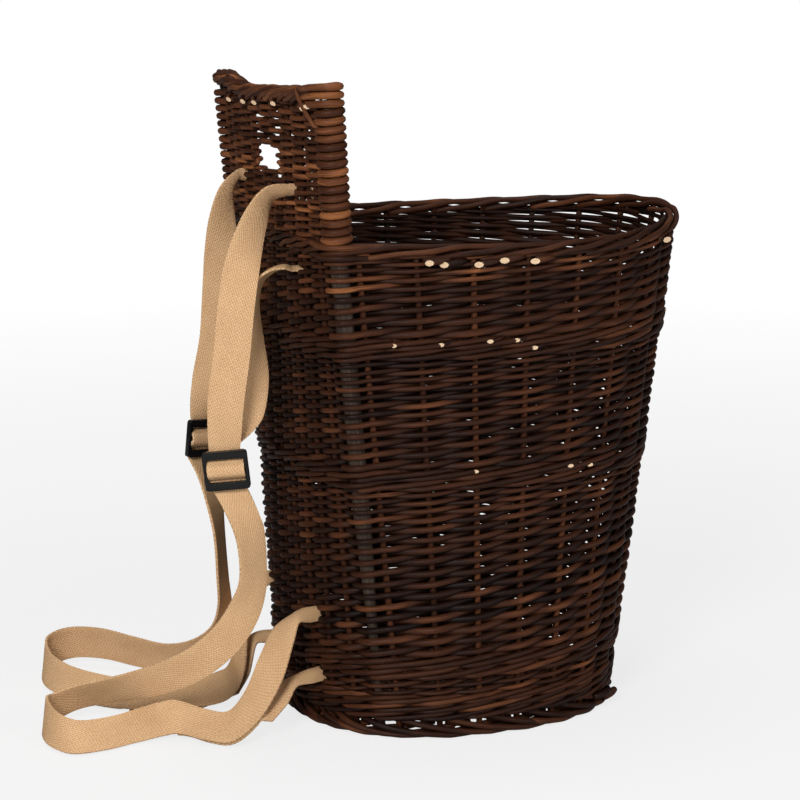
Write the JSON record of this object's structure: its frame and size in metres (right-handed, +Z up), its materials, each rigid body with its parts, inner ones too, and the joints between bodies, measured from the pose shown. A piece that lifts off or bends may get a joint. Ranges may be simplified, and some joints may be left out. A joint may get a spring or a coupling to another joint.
{
  "type": "pack basket",
  "caption": "Tall dark willow basket with a raised flat back, a hand hole, a rounded front and two adjustable webbing shoulder straps for carrying harvested fruit.",
  "frame": {"origin": "on the ground under the middle of the basket's bounding box, without its straps", "axes": "+X to the basket's rounded front, away from the wearer; +Y to its far side; +Z up"},
  "size_m": [0.6037, 0.3662, 0.5695],
  "materials": {
    "dark_willow": "dark brown stained willow rods with a slight sheen",
    "stake_willow": "dark brown willow stakes, a little lighter",
    "post_willow": "grey-brown bark on thick corner posts",
    "jute_webbing": "coarse natural jute webbing",
    "black_plastic": "glossy black moulded plastic"
  },
  "bodies": {
    "basket": {"foot_border": "dark_willow", "foot_waling": "dark_willow", "upset_weave": "dark_willow", "upset_waling": "dark_willow", "lower_weave": "dark_willow", "middle_wale": "dark_willow", "middle_weave": "dark_willow", "upper_wale": "dark_willow", "upper_weave": "dark_willow", "rim_border": "dark_willow", "raised_lower_weave": "dark_willow", "raised_near_weave": "dark_willow", "raised_far_weave": "dark_willow", "raised_upper_weave": "dark_willow", "top_border": "dark_willow", "base_weave": "dark_willow", "base_sticks": "stake_willow", "near_corner_post": "post_willow", "far_corner_post": "post_willow", "side_stake_01": "stake_willow", "side_stake_02": "stake_willow", "side_stake_03": "stake_willow", "side_stake_04": "stake_willow", "side_stake_05": "stake_willow", "side_stake_06": "stake_willow", "side_stake_07": "stake_willow", "side_stake_08": "stake_willow", "side_stake_09": "stake_willow", "side_stake_10": "stake_willow", "side_stake_11": "stake_willow", "side_stake_12": "stake_willow", "side_stake_13": "stake_willow", "side_stake_14": "stake_willow", "side_stake_15": "stake_willow", "side_stake_16": "stake_willow", "side_stake_17": "stake_willow", "side_stake_18": "stake_willow", "side_stake_19": "stake_willow", "back_stake_01": "stake_willow", "back_stake_02": "stake_willow", "back_stake_03": "stake_willow", "back_stake_04": "stake_willow", "back_stake_05": "stake_willow", "back_stake_06": "stake_willow", "back_stake_07": "stake_willow", "back_stake_08": "stake_willow", "back_stake_09": "stake_willow", "near_strap_upper": "jute_webbing", "near_strap_inner": "jute_webbing", "near_strap_lower": "jute_webbing", "near_strap_return": "jute_webbing", "far_strap_upper": "jute_webbing", "far_strap_inner": "jute_webbing", "far_strap_lower": "jute_webbing", "far_strap_return": "jute_webbing"},
    "near_slide": {"near_slide_frame": "black_plastic", "near_slide_webbing": "jute_webbing"},
    "far_slide": {"far_slide_frame": "black_plastic", "far_slide_webbing": "jute_webbing"}
  },
  "joints": [
    {"name": "near_slide_travel", "type": "slide", "parent": "basket", "child": "near_slide", "axis": [0.0605, -0.0101, 0.9981], "range_m": [-0.03, 0.1], "deforming": ["near_strap_upper", "near_strap_inner", "near_strap_lower"]},
    {"name": "far_slide_travel", "type": "slide", "parent": "basket", "child": "far_slide", "axis": [0.1289, -0.0297, 0.9912], "range_m": [-0.03, 0.1], "deforming": ["far_strap_upper", "far_strap_inner", "far_strap_lower"]}
  ]
}
